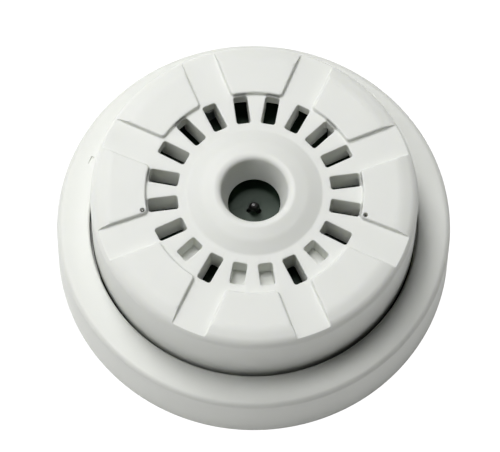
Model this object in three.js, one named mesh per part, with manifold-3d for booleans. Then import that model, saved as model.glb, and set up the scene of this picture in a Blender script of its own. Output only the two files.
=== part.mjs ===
// Point heat detector: a round head that locks with a twist into a shallow terminal base.
// Millimetres. z = 0 is the face of the base that lies against the ceiling, and +Z points out
// through the middle of the detector's face, so the detector is drawn lying on its back.
import * as THREE from "three";
import { mergeVertices } from "three/addons/utils/BufferGeometryUtils.js";
import Module from "manifold-3d";

const wasm = await Module();
wasm.setup();

// ---- Driving dimensions -------------------------------------------------------------------
const ROUND_SIDES = 60; // sides of the large turned shapes
const SMALL_SIDES = 16; // sides of screws, pins and their holes
const GAP = 0.3; // clearance between neighbouring pieces

// Base
const BASE_R = 50; // at the ceiling
const BASE_TOP_R = 49.3; // the outer wall has draft
const BASE_H = 16.5;
const BASE_WALL_R = 47.2; // inside of the outer wall
const PLATE_T = 2.5; // back plate
const BORE_R = 41.2; // opening that the head goes into
const RIM_UNDER_Z = 14.3;
const RIM_DISH = 0.25; // how far the top of the rim is hollowed
const RIM_ROUND = 1.2;
const CABLE_HOLE_R = 10;
const COLLAR_T = 1.5;
const COLLAR_TOP_Z = 4;
const FIX_SLOT_R = 27; // centre of each fixing slot from the axis
const FIX_SLOT_W = 4.6;
const FIX_SLOT_L = 10.6;
const MARK_ANGLE = 159.5; // alignment mark on the rim
const MARK_R = 44.3;
const MARK_W = 0.8; // along the radius
const MARK_L = 2.2;
const MARK_DEPTH = 0.3;

// Head
const HEAD_R = 40; // at the face
const HEAD_LOW_R = 40.6; // at the open end of the drum, which has draft
const HEAD_WALL_R = 38; // inside of the drum wall
const HEAD_BOTTOM_Z = 13.5;
const FACE_Z = 35; // top of the pads
const FLOOR_Z = 33.9; // floor of the slot ring and of the channels
const PLATE_UNDER_Z = 30.6; // underside of the face
const RIB_UNDER_Z = 26.2; // underside of the bars between the slots
const RING_UNDER_Z = 25.2; // underside of the ring wall inside the slots
const BOSS_TOP_Z = 35.9;
const PAD_INNER_R = 26.5;
const PAD_OUTER_R = 35.5;
const BOSS_R = 16.2;
const PADS = 8;
const CHANNEL_IN_W = 8.2;
const CHANNEL_OUT_W = 8.8;
const AIR_SLOTS = 20;
const BLIND_SLOTS = [-135, -99, -81, -45]; // angles of the shorter slots, which are closed below
const BLIND_Z = 28.6;
const SLOT_IN_R = 18.8;
const SLOT_OUT_R = 26.1;
const BLIND_OUT_R = 24.4;
const SLOT_W = 3.5;
const SLOT_CORNER = 0.6;
const OPENING_TOP_R = 8; // sensing opening
const OPENING_LOW_R = 6.4;
const OPENING_LOW_Z = 26.8;

// Head internals
const CHASSIS_R = 37.6;
const CHASSIS_Z = 16.9;
const CHASSIS_T = 2;
const SKIRT_IN_R = 34; // inside of the chassis skirt
const SKIRT_R = 35.6;
const SKIRT_Z = 8.9;
const BOARD_R = 35.5;
const BOARD_Z = 20.9;
const BOARD_T = 1.6;
const BOARD_TOP_Z = BOARD_Z + BOARD_T;
const SEAT = 0.1; // gap under a part that sits on the board
const CASE_SCREWS = 3;
const CASE_SCREW_R = 29.5; // distance from the axis
const CASE_SCREW_ANGLE = 45; // first screw
const SHANK_R = 1.2;
const SHANK_HOLE_R = 1.6;
const LED_R = 27.7;
const LED_ANGLES = [-12, 192];
const PINHOLE_R = 0.55;
const GUIDE_R = 1;
const GUIDE_TIP_R = 0.3;
const GUIDE_BORE_R = 1.3;
const GUIDE_BORE_TOP_Z = FLOOR_Z - 1.2;

// Bayonet
const LUGS = 3;
const LUG_ANGLE = 90; // first lug
const LUG_WIDTH = 14; // degrees
const LUG_R = 39.2;
const LUG_T = 1.5;
const LEDGE_R = 36.2;
const LEDGE_WALL_R = 39.6; // inside of the wall that carries a ledge
const LEDGE_OUT_R = 41.4;
const LEDGE_Z = 10.7;
const LEDGE_T = 1.2;

// Terminals
const TERMINALS = 4;
const TERMINAL_R = 27;
const TERMINAL_ANGLE = 45; // first terminal
const TOWER_TOP_Z = 9.5;
const BARRIER_T = 1.2; // walls that keep the wire clamp square
const BARRIER_TOP_Z = 13.5;
const CONTACT_T = 0.8;
const CONTACT_Z = TOWER_TOP_Z + GAP;
const CLAMP_SIZE = 8;
const CLAMP_T = 1;
const CLAMP_Z = CONTACT_Z + CONTACT_T + GAP;
const SCREW_HEAD_Z = CLAMP_Z + CLAMP_T + GAP;
const SCREW_HEAD_R = 3;
const SCREW_HEAD_H = 2;
const SCREW_R = 1.5;
const SCREW_HOLE_R = 1.8;
const SCREW_TIP_Z = 6.1;
const LEAF_TURN = 25; // degrees from the terminal screw to its contact leaf
const LEAF_H = 3.8;
const LEAF_T = 0.7;
const BLADE_TURN = 45; // degrees from the terminal screw to the head's blade, before the twist
const BLADE_W = 5;
const BLADE_T = 0.6;
const BLADE_FOOT_Z = 14;

// ---- Helpers ------------------------------------------------------------------------------
const radians = THREE.MathUtils.degToRad;

// A closed geometry as a solid that can be cut and joined.
function solid(geometry) {
  geometry.deleteAttribute("normal");
  geometry.deleteAttribute("uv");
  const merged = mergeVertices(geometry, 1e-4);
  const corners = [...merged.index.array];
  const triangles = [];
  for (let i = 0; i < corners.length; i += 3) {
    const [a, b, c] = corners.slice(i, i + 3);
    if (a !== b && b !== c && c !== a) triangles.push(a, b, c);
  }
  const mesh = new wasm.Mesh({
    numProp: 3,
    vertProperties: merged.attributes.position.array,
    triVerts: new Uint32Array(triangles),
  });
  return new wasm.Manifold(mesh);
}

function geometryOf(body) {
  const mesh = body.getMesh();
  const geometry = new THREE.BufferGeometry();
  geometry.setAttribute("position", new THREE.BufferAttribute(mesh.vertProperties, 3));
  geometry.setIndex(new THREE.BufferAttribute(mesh.triVerts, 1));
  geometry.computeVertexNormals();
  return geometry;
}

const join = (first, ...others) => others.reduce((body, other) => body.add(other), first);
const cut = (first, ...others) => others.reduce((body, other) => body.subtract(other), first);

// Turned shape about Z. The outline runs anticlockwise with r to the right and z up.
function turned(outline, sides = ROUND_SIDES) {
  const points = outline.map(([r, z]) => new THREE.Vector2(r, z));
  if (outline.every(([r]) => r > 0)) points.push(points[0].clone());
  return solid(new THREE.LatheGeometry(points, sides).rotateX(Math.PI / 2));
}

// Rod or hole about a vertical axis through (x, y).
function rod(radius, z0, z1, x = 0, y = 0, sides = SMALL_SIDES) {
  const geometry = new THREE.CylinderGeometry(radius, radius, z1 - z0, sides);
  return solid(geometry.rotateX(Math.PI / 2).translate(x, y, (z0 + z1) / 2));
}

// Box between two opposite corners, turned about Z afterwards.
function block(low, high, angle = 0) {
  const size = high.map((value, axis) => value - low[axis]);
  const middle = high.map((value, axis) => (value + low[axis]) / 2);
  const geometry = new THREE.BoxGeometry(...size).translate(...middle);
  return solid(geometry.rotateZ(radians(angle)));
}

// Flat shape in XY raised from z0 to z1, turned about Z afterwards.
function plate(shape, z0, z1, angle = 0, curveSegments = 4) {
  const options = { depth: z1 - z0, bevelEnabled: false, curveSegments };
  const geometry = new THREE.ExtrudeGeometry(shape, options).translate(0, 0, z0);
  return solid(geometry.rotateZ(radians(angle)));
}

// Part of a ring between two radii and two angles.
function sector(r0, r1, from, to, z0, z1) {
  const shape = new THREE.Shape();
  shape.absarc(0, 0, r1, radians(from), radians(to), false);
  shape.absarc(0, 0, r0, radians(to), radians(from), true);
  return plate(shape, z0, z1);
}

// Rectangle with rounded corners.
function roundedShape(x0, y0, x1, y1, corner) {
  const quarter = Math.PI / 2;
  const shape = new THREE.Shape();
  shape.absarc(x1 - corner, y1 - corner, corner, 0, quarter, false);
  shape.absarc(x0 + corner, y1 - corner, corner, quarter, 2 * quarter, false);
  shape.absarc(x0 + corner, y0 + corner, corner, 2 * quarter, 3 * quarter, false);
  shape.absarc(x1 - corner, y0 + corner, corner, 3 * quarter, 4 * quarter, false);
  return shape;
}

// Points of a quarter-like arc, from one angle to another, as [r, z] pairs.
function arc(r, z, radius, from, to, steps) {
  const points = [];
  for (let i = 0; i <= steps; i++) {
    const a = radians(from + ((to - from) * i) / steps);
    points.push([r + radius * Math.cos(a), z + radius * Math.sin(a)]);
  }
  return points;
}

const around = (radius, angle) => [
  radius * Math.cos(radians(angle)),
  radius * Math.sin(radians(angle)),
];
const repeat = (count, make) => Array.from({ length: count }, (_, k) => make(k));

// ---- Materials ----------------------------------------------------------------------------
const paint = (color, roughness, metalness = 0) =>
  new THREE.MeshStandardMaterial({ color, roughness, metalness });
const WHITE_SHELL = paint(0xe9eae4, 0.45);
const WHITE_BASE = paint(0xe2e4da, 0.5);
const PALE_CHASSIS = paint(0xdcddd4, 0.55);
const BLACK_RUBBER = paint(0x1b1b1a, 0.8);
const BOARD_GREEN = paint(0x1f4a2c, 0.5);
const CHIP_BLACK = paint(0x161617, 0.5);
const EPOXY_BLACK = paint(0x10100f, 0.35);
const CAN_METAL = paint(0xc4c6c8, 0.35, 1);
const STEEL = paint(0xb9bbbd, 0.35, 1);
const BRASS = paint(0xc8a24e, 0.35, 1);
const SPRING_BRONZE = paint(0xb98a55, 0.35, 1);
const CLEAR_PLASTIC = paint(0xd6dedb, 0.1);
const LED_RED = paint(0xc4342a, 0.25);

const detector = new THREE.Group();
detector.name = "heat_detector";
const base = new THREE.Group();
const head = new THREE.Group();
detector.add(base, head);

function addPiece(parent, name, body, material) {
  const mesh = new THREE.Mesh(geometryOf(body), material);
  mesh.name = name;
  parent.add(mesh);
}

// ---- Base ---------------------------------------------------------------------------------
const terminalAngle = (k) => TERMINAL_ANGLE + (360 / TERMINALS) * k;
const lugAngle = (k) => LUG_ANGLE + (360 / LUGS) * k;

// Moulded seat under one terminal, with two barrier walls that keep the wire clamp square.
function terminalTower(k) {
  const low = PLATE_T - 0.1;
  const half = CLAMP_SIZE / 2 + 0.4;
  const inner = TERMINAL_R - half;
  const outer = TERMINAL_R + half;
  const seat = block([inner, -half, low], [outer, half, TOWER_TOP_Z]);
  const side = block([inner, -half - BARRIER_T, low], [outer, -half, BARRIER_TOP_Z]);
  const back = block([outer, -half - BARRIER_T, low], [outer + BARRIER_T, half, BARRIER_TOP_Z]);
  const arm = sector(TERMINAL_R - 3.2, TERMINAL_R + 3.2, 5, LEAF_TURN + 6, low, TOWER_TOP_Z);
  return join(seat, side, back, arm).rotate([0, 0, terminalAngle(k)]);
}

// Ledge that holds one lug of the head down after the twist, with its end stop.
function bayonetLedge(k) {
  const start = lugAngle(k) - LUG_WIDTH / 2 - 2;
  const end = start - 19;
  const low = PLATE_T - 0.1;
  const top = LEDGE_Z + LEDGE_T;
  const ledge = sector(LEDGE_R, LEDGE_WALL_R + 0.2, end - 2.5, start, LEDGE_Z, top);
  const wall = sector(LEDGE_WALL_R, LEDGE_OUT_R, end - 2.5, start, low, top);
  const stop = sector(LEDGE_R, LEDGE_WALL_R + 0.2, end - 2.5, end, low, LEDGE_Z + 0.1);
  return join(ledge, wall, stop);
}

function baseShell() {
  const bowl = turned([
    [0, 0],
    [BASE_R - 0.4, 0],
    [BASE_R, 0.4],
    ...arc(BASE_TOP_R - RIM_ROUND, BASE_H - RIM_ROUND, RIM_ROUND, 0, 90, 3),
    [(BASE_TOP_R + BORE_R) / 2, BASE_H - RIM_DISH],
    ...arc(BORE_R + 0.6, BASE_H - 0.7, 0.6, 90, 180, 2),
    [BORE_R, RIM_UNDER_Z],
    [BASE_WALL_R - 0.8, RIM_UNDER_Z],
    [BASE_WALL_R, RIM_UNDER_Z - 0.8],
    [BASE_WALL_R, PLATE_T],
    [0, PLATE_T],
  ]);
  const collar = rod(CABLE_HOLE_R + COLLAR_T, PLATE_T - 0.1, COLLAR_TOP_Z, 0, 0, 32);
  const cableHole = rod(CABLE_HOLE_R, -1, COLLAR_TOP_Z + 1, 0, 0, 32);
  const fixSlots = repeat(2, (k) => {
    const x0 = FIX_SLOT_R - FIX_SLOT_L / 2;
    const x1 = FIX_SLOT_R + FIX_SLOT_L / 2;
    const half = FIX_SLOT_W / 2;
    return plate(roundedShape(x0, -half, x1, half, half - 0.01), -1, PLATE_T + 1, 180 * k);
  });
  const screwHoles = repeat(TERMINALS, (k) => {
    const [x, y] = around(TERMINAL_R, terminalAngle(k));
    return rod(SCREW_HOLE_R, SCREW_TIP_Z - 0.4, TOWER_TOP_Z + 1, x, y);
  });
  const mark = block(
    [MARK_R - MARK_W / 2, -MARK_L / 2, BASE_H - RIM_DISH - MARK_DEPTH],
    [MARK_R + MARK_W / 2, MARK_L / 2, BASE_H + 1],
    MARK_ANGLE,
  );
  const towers = repeat(TERMINALS, terminalTower);
  const ledges = repeat(LUGS, bayonetLedge);
  const body = join(bowl, collar, ...towers, ...ledges);
  return cut(body, cableHole, ...fixSlots, ...screwHoles, mark);
}

// Terminal plate: a pad under the screw, an arm, and a leaf folded up and back at its end.
function contactPlate(k) {
  const top = CONTACT_Z + CONTACT_T;
  const half = CLAMP_SIZE / 2;
  const pad = block([TERMINAL_R - half, -half, CONTACT_Z], [TERMINAL_R + half, half, top]);
  const arm = sector(TERMINAL_R - 2.8, TERMINAL_R + 2.8, 0, LEAF_TURN + 5, CONTACT_Z, top);
  const fold = new THREE.Shape();
  const leafTop = CONTACT_Z + LEAF_H;
  const leafUnder = leafTop - LEAF_T;
  fold.moveTo(2.2, CONTACT_Z);
  fold.lineTo(3.6, CONTACT_Z + 0.2);
  fold.lineTo(3.6, leafTop - 1.1);
  fold.quadraticCurveTo(3.4, leafTop - 0.1, 2.2, leafTop);
  fold.lineTo(-1.6, leafTop);
  fold.lineTo(-3.8, leafTop - 1.2);
  fold.lineTo(-3.8, leafUnder - 1.2);
  fold.lineTo(-1.4, leafUnder);
  fold.lineTo(2.1, leafUnder);
  fold.quadraticCurveTo(2.8, leafUnder, 2.9, leafUnder - 0.8);
  fold.lineTo(2.9, top - 0.1);
  fold.lineTo(2.2, top - 0.1);
  const options = { depth: BLADE_W, bevelEnabled: false, curveSegments: 3 };
  const strip = new THREE.ExtrudeGeometry(fold, options)
    .translate(0, 0, -BLADE_W / 2)
    .rotateX(Math.PI / 2)
    .rotateZ(Math.PI / 2)
    .translate(TERMINAL_R, 0, 0)
    .rotateZ(radians(LEAF_TURN));
  const hole = rod(SCREW_HOLE_R, CONTACT_Z - 1, top + 1, TERMINAL_R, 0);
  return cut(join(pad, arm, solid(strip)), hole).rotate([0, 0, terminalAngle(k)]);
}

function wireClamp(k) {
  const half = CLAMP_SIZE / 2;
  const low = [TERMINAL_R - half, -half, CLAMP_Z];
  const square = block(low, [TERMINAL_R + half, half, CLAMP_Z + CLAMP_T]);
  const hole = rod(SCREW_HOLE_R, CLAMP_Z - 1, CLAMP_Z + CLAMP_T + 1, TERMINAL_R, 0);
  return cut(square, hole).rotate([0, 0, terminalAngle(k)]);
}

// Pan-head screw with a straight slot and a cross.
function terminalScrew(k) {
  const top = SCREW_HEAD_Z + SCREW_HEAD_H;
  const shape = turned(
    [
      [0, SCREW_TIP_Z],
      [SCREW_R - 0.4, SCREW_TIP_Z],
      [SCREW_R, SCREW_TIP_Z + 0.4],
      [SCREW_R, SCREW_HEAD_Z],
      [SCREW_HEAD_R, SCREW_HEAD_Z],
      ...arc(SCREW_HEAD_R - 0.7, top - 0.7, 0.7, 0, 90, 2),
      [0, top],
    ],
    SMALL_SIDES,
  );
  const slot = block([-SCREW_HEAD_R - 1, -0.4, top - 1], [SCREW_HEAD_R + 1, 0.4, top + 1]);
  const cross = block([-0.5, -1.7, top - 1.2], [0.5, 1.7, top + 1]);
  const [x, y] = around(TERMINAL_R, terminalAngle(k));
  return cut(shape, slot, cross).translate([x, y, 0]);
}

addPiece(base, "base_shell", baseShell(), WHITE_BASE);
repeat(TERMINALS, (k) => {
  addPiece(base, `contact_plate_${k + 1}`, contactPlate(k), SPRING_BRONZE);
  addPiece(base, `wire_clamp_${k + 1}`, wireClamp(k), STEEL);
  addPiece(base, `terminal_screw_${k + 1}`, terminalScrew(k), STEEL);
});

// ---- Seal between base and head -----------------------------------------------------------
const SEAL_Z = LEDGE_Z + LEDGE_T + GAP;
function sealRing() {
  const inner = SKIRT_R + GAP;
  const outer = BORE_R - 0.5;
  const top = HEAD_BOTTOM_Z - GAP;
  return turned([
    [inner, SEAL_Z],
    [outer, SEAL_Z],
    [outer, top],
    [inner, top],
  ]);
}
addPiece(detector, "seal_ring", sealRing(), BLACK_RUBBER);

// ---- Head ---------------------------------------------------------------------------------
const caseScrewAngle = (k) => CASE_SCREW_ANGLE + (360 / CASE_SCREWS) * k;
const caseScrewPlaces = repeat(CASE_SCREWS, (k) => around(CASE_SCREW_R, caseScrewAngle(k)));
const bladeAngle = (k) => terminalAngle(k) + BLADE_TURN;

// Radial air slot with rounded corners.
function airSlot(k) {
  const half = SLOT_W / 2;
  const angle = (360 / AIR_SLOTS) * (k + 0.5) - 180;
  const blind = BLIND_SLOTS.includes(angle);
  const outer = blind ? BLIND_OUT_R : SLOT_OUT_R;
  const low = blind ? BLIND_Z : RING_UNDER_Z;
  const shape = roundedShape(SLOT_IN_R, -half, outer, half, SLOT_CORNER);
  return plate(shape, low, FACE_Z + 1, angle, 2);
}

// Channel between two pads, a little wider at the rim.
function channel(k) {
  const r0 = PAD_INNER_R - 0.8;
  const r1 = HEAD_R + 1;
  const shape = new THREE.Shape();
  shape.moveTo(r0, -CHANNEL_IN_W / 2);
  shape.lineTo(r1, -CHANNEL_OUT_W / 2);
  shape.lineTo(r1, CHANNEL_OUT_W / 2);
  shape.lineTo(r0, CHANNEL_IN_W / 2);
  const step = 360 / PADS;
  return plate(shape, FLOOR_Z, FACE_Z + 2, step * (k + 0.5));
}

function frontCover() {
  const wall = 1.6; // walls of the central tube and of the slot ring
  const bossUnder = 31.2;
  const shell = turned([
    [HEAD_WALL_R, HEAD_BOTTOM_Z],
    [HEAD_LOW_R, HEAD_BOTTOM_Z],
    ...arc(HEAD_R - 0.8, FACE_Z - 2.2, 0.8, 0, 70, 2),
    [38, FACE_Z - 0.8],
    [36.9, FACE_Z - 0.25],
    [PAD_OUTER_R, FACE_Z],
    [PAD_INNER_R, FACE_Z],
    [PAD_INNER_R - 0.2, FLOOR_Z],
    [BOSS_R, FLOOR_Z],
    [BOSS_R - 1.2, FLOOR_Z + 0.6],
    [12, BOSS_TOP_Z - 0.3],
    [OPENING_TOP_R + 1.8, BOSS_TOP_Z],
    [OPENING_TOP_R + 0.6, BOSS_TOP_Z - 0.5],
    [OPENING_TOP_R, BOSS_TOP_Z - 1.8],
    [OPENING_LOW_R, OPENING_LOW_Z],
    [OPENING_LOW_R + wall, OPENING_LOW_Z],
    [OPENING_TOP_R + wall, bossUnder],
    [SLOT_IN_R - 0.2 - wall, bossUnder],
    [SLOT_IN_R - 0.2 - wall, RING_UNDER_Z],
    [SLOT_IN_R - 0.2, RING_UNDER_Z],
    [SLOT_IN_R - 0.2, RIB_UNDER_Z],
    [SLOT_OUT_R - 0.8, RIB_UNDER_Z],
    [SLOT_OUT_R - 0.8, PLATE_UNDER_Z],
    [HEAD_WALL_R - 0.8, PLATE_UNDER_Z],
    [HEAD_WALL_R, PLATE_UNDER_Z - 0.8],
  ]);
  const bossLow = BOARD_TOP_Z + GAP;
  const bosses = caseScrewPlaces.map(([x, y]) => rod(2.8, bossLow, PLATE_UNDER_Z + 0.2, x, y));
  const pilots = caseScrewPlaces.map(([x, y]) => rod(1.5, bossLow - 1, PLATE_UNDER_Z - 1, x, y));
  const ledHoles = LED_ANGLES.flatMap((angle) => {
    const [x, y] = around(LED_R, angle);
    const bore = rod(GUIDE_BORE_R, PLATE_UNDER_Z - 1, GUIDE_BORE_TOP_Z, x, y);
    return [bore, rod(PINHOLE_R, PLATE_UNDER_Z, FACE_Z + 1, x, y, 12)];
  });
  const slots = repeat(AIR_SLOTS, airSlot);
  const channels = repeat(PADS, channel);
  return cut(join(shell, ...bosses), ...slots, ...channels, ...pilots, ...ledHoles);
}

function headChassis() {
  const top = CHASSIS_Z + CHASSIS_T;
  const dish = turned([
    [0, CHASSIS_Z],
    [SKIRT_IN_R, CHASSIS_Z],
    [SKIRT_IN_R, SKIRT_Z],
    [SKIRT_R, SKIRT_Z],
    [SKIRT_R, CHASSIS_Z],
    [CHASSIS_R, CHASSIS_Z],
    [CHASSIS_R, top],
    [0, top],
  ]);
  const lugs = repeat(LUGS, (k) => {
    const middle = lugAngle(k);
    const [from, to] = [middle - LUG_WIDTH / 2, middle + LUG_WIDTH / 2];
    return sector(SKIRT_R - 0.4, LUG_R, from, to, SKIRT_Z, SKIRT_Z + LUG_T);
  });
  const posts = caseScrewPlaces.map(([x, y]) => rod(3.2, top - 0.2, BOARD_Z - GAP, x, y));
  const holes = caseScrewPlaces.map(([x, y]) => rod(SHANK_HOLE_R, CHASSIS_Z - 1, BOARD_Z, x, y));
  const sinks = caseScrewPlaces.map(([x, y]) => rod(2.6, CHASSIS_Z - 1, CHASSIS_Z + 1.8, x, y));
  const bladeSlots = repeat(TERMINALS, (k) => {
    const half = BLADE_W / 2 + 0.4;
    const low = [TERMINAL_R - half, -0.7, CHASSIS_Z - 1];
    return block(low, [TERMINAL_R + half, 0.7, top + 1], bladeAngle(k));
  });
  return cut(join(dish, ...lugs, ...posts), ...holes, ...sinks, ...bladeSlots);
}

const LEAD_HALF_PITCH = 1.3; // half the distance between the thermistor's two leads
function circuitBoard() {
  const disc = rod(BOARD_R, BOARD_Z, BOARD_TOP_Z, 0, 0, 48);
  const [low, high] = [BOARD_Z - 1, BOARD_TOP_Z + 1];
  const screwHoles = caseScrewPlaces.map(([x, y]) => rod(SHANK_HOLE_R, low, high, x, y));
  const bladeSlots = repeat(TERMINALS, (k) => {
    const half = BLADE_W / 2 + 0.3;
    return block([TERMINAL_R - half, -0.6, low], [TERMINAL_R + half, 0.6, high], bladeAngle(k));
  });
  const leadHoles = [-1, 1].map((side) => rod(0.6, low, high, side * LEAD_HALF_PITCH, 0, 8));
  return cut(disc, ...screwHoles, ...bladeSlots, ...leadHoles);
}

// L-shaped strip: a foot that wipes onto the base's leaf, and a leg up through the board.
function contactBlade(k) {
  const foot = new THREE.Shape();
  const legTop = BOARD_TOP_Z + 0.4;
  foot.moveTo(-BLADE_T / 2, legTop);
  foot.lineTo(-BLADE_T / 2, BLADE_FOOT_Z + BLADE_T);
  foot.lineTo(-3, BLADE_FOOT_Z + BLADE_T);
  foot.lineTo(-3.8, BLADE_FOOT_Z + BLADE_T + 0.7);
  foot.lineTo(-3.9, BLADE_FOOT_Z + 0.3);
  foot.lineTo(-3, BLADE_FOOT_Z);
  foot.lineTo(BLADE_T / 2, BLADE_FOOT_Z);
  foot.lineTo(BLADE_T / 2, legTop);
  const options = { depth: BLADE_W, bevelEnabled: false };
  const strip = new THREE.ExtrudeGeometry(foot, options)
    .translate(0, 0, -BLADE_W / 2)
    .rotateX(Math.PI / 2)
    .rotateZ(Math.PI / 2)
    .translate(TERMINAL_R, 0, 0)
    .rotateZ(radians(bladeAngle(k)));
  return solid(strip);
}

// Self-tapping screw, driven in from the rear, so its head is at the bottom.
function caseScrew(k) {
  const headLow = CHASSIS_Z + GAP;
  const headHigh = headLow + 1.2;
  const shape = turned(
    [
      [0, headLow],
      [1.8, headLow],
      [2.2, headLow + 0.4],
      [2.2, headHigh],
      [SHANK_R, headHigh],
      [SHANK_R, PLATE_UNDER_Z - 2.6],
      [0, PLATE_UNDER_Z - 1.6],
    ],
    SMALL_SIDES,
  );
  const cross = join(
    block([-1.3, -0.35, headLow - 1], [1.3, 0.35, headLow + 0.8]),
    block([-0.35, -1.3, headLow - 1], [0.35, 1.3, headLow + 0.8]),
  );
  const [x, y] = caseScrewPlaces[k];
  return cut(shape, cross).translate([x, y, 0]);
}

// Epoxy bead on two leads.
function sensingThermistor() {
  const beadZ = OPENING_LOW_Z - 1.8;
  const bead = solid(new THREE.SphereGeometry(1.5, 14, 10)).scale([1, 0.8, 1]);
  const leads = [-1, 1].map((side) => {
    const x = side * LEAD_HALF_PITCH;
    const lower = rod(0.25, BOARD_Z - 0.6, beadZ - 0.9, x, 0, 8);
    const upper = block([Math.min(0, x), -0.2, beadZ - 1.1], [Math.max(0, x), 0.2, beadZ - 0.7]);
    return join(lower, upper);
  });
  return join(bead.translate([0, 0, beadZ]), ...leads);
}

function referenceThermistor() {
  const low = BOARD_TOP_Z + SEAT;
  return join(
    block([-22.2, -1.4, low], [-20.8, 1.4, low + 0.5]),
    solid(new THREE.SphereGeometry(1.1, 12, 8)).translate([-21.5, 0, low + 1.3]),
  );
}

function statusLed(index) {
  const [x, y] = around(LED_R, LED_ANGLES[index]);
  const low = BOARD_TOP_Z + SEAT;
  const dome = [
    [0, low],
    [1.6, low],
    [1.6, low + 0.4],
    [1.3, low + 0.5],
    ...arc(0, low + 0.5, 1.2, 10, 90, 3).map(([r, z]) => [Math.max(r, 0), z]),
  ];
  return turned(dome, SMALL_SIDES).translate([x, y, 0]);
}

function lightGuide(index) {
  const [x, y] = around(LED_R, LED_ANGLES[index]);
  const low = BOARD_TOP_Z + 2.1;
  const shoulder = GUIDE_BORE_TOP_Z - GAP;
  const top = FACE_Z - 0.1;
  const guide = [
    [0, low],
    [GUIDE_R, low],
    [GUIDE_R, shoulder - 0.4],
    [GUIDE_TIP_R, shoulder],
    [GUIDE_TIP_R, top],
    [0, top],
  ];
  return turned(guide, 12).translate([x, y, 0]);
}

function boardPart(x, y, width, depth, height) {
  const low = BOARD_TOP_Z + SEAT;
  return block(
    [x - width / 2, y - depth / 2, low],
    [x + width / 2, y + depth / 2, low + height],
  );
}

addPiece(head, "front_cover", frontCover(), WHITE_SHELL);
addPiece(head, "head_chassis", headChassis(), PALE_CHASSIS);
addPiece(head, "circuit_board", circuitBoard(), BOARD_GREEN);
addPiece(head, "board_chip", boardPart(-11, 12, 7, 7, 1.4), CHIP_BLACK);
addPiece(head, "board_rectifier", boardPart(12, -12, 5, 4, 2.2), CHIP_BLACK);
const [capX, capY] = around(30, 115);
const capZ = BOARD_TOP_Z + SEAT;
addPiece(head, "board_capacitor", rod(3.1, capZ, capZ + 5.3, capX, capY, 20), CAN_METAL);
addPiece(head, "sensing_thermistor", sensingThermistor(), EPOXY_BLACK);
addPiece(head, "reference_thermistor", referenceThermistor(), EPOXY_BLACK);
repeat(LED_ANGLES.length, (k) => {
  addPiece(head, `status_led_${k + 1}`, statusLed(k), LED_RED);
  addPiece(head, `light_guide_${k + 1}`, lightGuide(k), CLEAR_PLASTIC);
});
repeat(TERMINALS, (k) => addPiece(head, `contact_blade_${k + 1}`, contactBlade(k), BRASS));
repeat(CASE_SCREWS, (k) => addPiece(head, `case_screw_${k + 1}`, caseScrew(k), STEEL));

export default detector;
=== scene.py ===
import math

import bmesh
import bpy
from mathutils import Matrix, Vector


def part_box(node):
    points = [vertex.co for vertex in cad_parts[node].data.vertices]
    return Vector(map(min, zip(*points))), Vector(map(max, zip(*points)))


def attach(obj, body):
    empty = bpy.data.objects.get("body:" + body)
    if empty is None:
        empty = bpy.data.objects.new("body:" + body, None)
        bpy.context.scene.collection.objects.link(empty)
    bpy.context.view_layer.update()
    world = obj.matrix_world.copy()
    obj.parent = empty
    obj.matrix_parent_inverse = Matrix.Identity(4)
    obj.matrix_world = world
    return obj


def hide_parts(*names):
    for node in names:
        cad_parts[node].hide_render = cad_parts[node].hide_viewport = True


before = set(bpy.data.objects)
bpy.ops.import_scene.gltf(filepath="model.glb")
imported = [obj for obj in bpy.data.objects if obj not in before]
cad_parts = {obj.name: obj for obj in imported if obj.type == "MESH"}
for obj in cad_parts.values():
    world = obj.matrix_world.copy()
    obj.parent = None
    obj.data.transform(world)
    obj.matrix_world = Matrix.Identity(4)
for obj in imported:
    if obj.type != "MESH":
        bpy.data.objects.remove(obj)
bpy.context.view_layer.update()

# ---- Driving dimensions, in millimetres -----------------------------------------------------
MM = 0.001
ROUND = 256  # steps round the large turned shapes
FINE = 48  # steps round screws, pins and their holes
GAP = 0.3
SHARP_ANGLE = 32  # edges that turn by more than this stay crisp
ROUNDED_ANGLE = 40  # edges that turn by more than this are rounded when a body is bevelled

BASE_R = 50
BASE_TOP_R = 49.3
BASE_H = 16.5
BASE_WALL_R = 47.2
PLATE_T = 2.5
BORE_R = 41.2
RIM_UNDER_Z = 14.3
RIM_DISH = 0.25
RIM_ROUND = 1.3
CABLE_HOLE_R = 10
COLLAR_T = 1.5
COLLAR_TOP_Z = 4
FIX_SLOT_R = 27
FIX_SLOT_W = 4.6
FIX_SLOT_L = 10.6
MARK_ANGLE = 159.5
MARK_R = 44.3
MARK_W = 0.8
MARK_L = 2.2
MARK_DEPTH = 0.3

HEAD_R = 40
HEAD_LOW_R = 40.6
HEAD_WALL_R = 38
HEAD_BOTTOM_Z = 13.5
FACE_Z = 35
FLOOR_Z = 33.9
PLATE_UNDER_Z = 30.6
RIB_UNDER_Z = 26.2
RING_UNDER_Z = 25.2
BOSS_TOP_Z = 35.9
BOSS_R = 16.6
BOSS_UNDER_Z = 31.2
BOSS_FOOT_ROUND = 2.2
CROWN_ROUND = 2.6  # between the drum wall and the slope of its crown
PAD_OUTER_R = 36
PAD_INNER_R = 26.5
PADS = 8
PAD_CORNER_R = 1.1
CHANNEL_IN_W = 8.2
CHANNEL_OUT_W = 8.8
TROUGH_R = 26
AIR_SLOTS = 20
BLIND_SLOTS = (-135, -99, -81, -45)
BLIND_Z = 28.6
SLOT_IN_R = 18.8
SLOT_OUT_R = 26.1
BLIND_OUT_R = 24.4
RIB_OUT_R = 26.9  # the bars between the slots end here
SLOT_W = 3.5
SLOT_CORNER = 0.6
OPENING_TOP_R = 8
OPENING_LOW_R = 6.4
OPENING_LOW_Z = 26.8
TUBE_T = 1.6
SCREW_BOSS_R = 2.8
PILOT_R = 1.5
OVERSHOOT = 0.003  # lets a rounded cut meet the face without a sliver

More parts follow.
